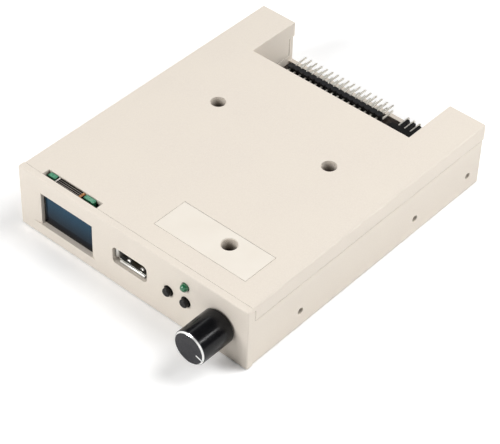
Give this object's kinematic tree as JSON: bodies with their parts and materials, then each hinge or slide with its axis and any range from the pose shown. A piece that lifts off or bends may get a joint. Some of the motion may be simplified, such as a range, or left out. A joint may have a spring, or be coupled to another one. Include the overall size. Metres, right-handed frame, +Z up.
{
  "type": "floppy drive emulator",
  "caption": "Drive-bay unit that stands in for a floppy drive: beige case, display window, USB socket, push buttons, lamp, turning knob and a pin header at the back.",
  "frame": {"origin": "middle of the case's flat underside", "axes": "+Z up, +Y from the front bezel to the rear header, +X right seen from the front"},
  "size_m": [0.1024, 0.1385, 0.0254],
  "materials": {
    "case_plastic": "warm off-white moulded ABS with a fine matte grain",
    "label_film": "cream film label, smooth and matte",
    "screw_steel": "dark zinc-plated steel",
    "black_board": "black solder mask over glass-epoxy",
    "green_board": "green solder mask over glass-epoxy",
    "display_glass": "dark blue polarised display glass",
    "foam_tape": "black foam tape",
    "flex_film": "black polyimide flexible circuit",
    "tinned_steel": "bright tin-plated steel sheet",
    "black_nylon": "black moulded nylon",
    "white_nylon": "natural white nylon",
    "white_acetal": "white acetal",
    "gold_contact": "gold-plated spring contact",
    "black_button": "black moulded plastic, satin",
    "green_lens": "clear green epoxy lens",
    "zinc_casting": "nickel-plated die-cast zinc",
    "machined_aluminium": "turned aluminium",
    "nickel_brass": "nickel-plated brass",
    "black_anodised": "black anodised aluminium, turned",
    "white_paint": "white paint in an engraved line",
    "tinned_pins": "tin-plated brass pins",
    "chip_epoxy": "black moulded epoxy",
    "capacitor_can": "drawn aluminium can",
    "ceramic_body": "fired ceramic chip",
    "lead_insulation": "PVC-insulated hook-up wire"
  },
  "bodies": {
    "root": {"bottom_tray": "case_plastic", "top_cover": "case_plastic", "blank_label": "label_film", "cover_screws": "screw_steel", "main_board": "black_board", "display_front_glass": "display_glass", "display_back_glass": "display_glass", "display_adhesive": "foam_tape", "display_board": "green_board", "display_flex": "flex_film", "display_parts": "ceramic_body", "usb_shell": "tinned_steel", "usb_tongue": "black_nylon", "usb_contacts": "gold_contact", "switch_housing_1": "black_nylon", "switch_housing_2": "black_nylon", "switch_plate_1": "tinned_steel", "switch_plate_2": "tinned_steel", "switch_dome_1": "tinned_steel", "switch_dome_2": "tinned_steel", "switch_terminals": "tinned_steel", "indicator_led": "green_lens", "led_leads": "tinned_steel", "encoder_frame": "zinc_casting", "encoder_housing": "black_nylon", "encoder_push_dome": "tinned_steel", "encoder_terminals": "tinned_steel", "encoder_washer": "tinned_steel", "encoder_nut": "nickel_brass", "floppy_header": "black_nylon", "floppy_header_pins": "tinned_pins", "power_header": "black_nylon", "power_header_pins": "tinned_pins", "jumper_header": "black_nylon", "jumper_pins": "tinned_pins", "jumper_cap": "black_nylon", "microcontroller": "chip_epoxy", "microcontroller_leads": "tinned_pins", "bus_drivers": "chip_epoxy", "bus_driver_leads": "tinned_pins", "voltage_regulator": "chip_epoxy", "crystal": "tinned_steel", "electrolytic_capacitors": "capacitor_can", "resistors": "ceramic_body", "ceramic_capacitors": "ceramic_body", "display_connector": "white_nylon", "encoder_connector": "white_nylon", "display_lead": "lead_insulation", "encoder_lead": "lead_insulation"},
    "button_1": {"button_1": "black_button"},
    "button_2": {"button_2": "black_button"},
    "encoder_rotor": {"encoder_rotor": "white_acetal"},
    "knob": {"encoder_shaft": "machined_aluminium", "shaft_clip": "tinned_steel", "knob": "black_anodised", "knob_pointer": "white_paint", "knob_hub": "black_nylon"}
  },
  "joints": [
    {"name": "button_1_press", "type": "slide", "parent": "root", "child": "button_1", "axis": [0, 1, 0], "range_m": [0, 0.00025], "stiffness_N_per_m": 400, "springref_m": -0.002},
    {"name": "button_2_press", "type": "slide", "parent": "root", "child": "button_2", "axis": [0, 1, 0], "range_m": [0, 0.00025], "stiffness_N_per_m": 400, "springref_m": -0.002},
    {"name": "knob_turn", "type": "hinge", "parent": "root", "child": "encoder_rotor", "pos_m": [0.0395, 0, 0.0128], "axis": [0, 1, 0], "continuous": true},
    {"name": "knob_press", "type": "slide", "parent": "encoder_rotor", "child": "knob", "axis": [0, 1, 0], "range_m": [0, 0.0005], "stiffness_N_per_m": 600, "springref_m": -0.003}
  ]
}
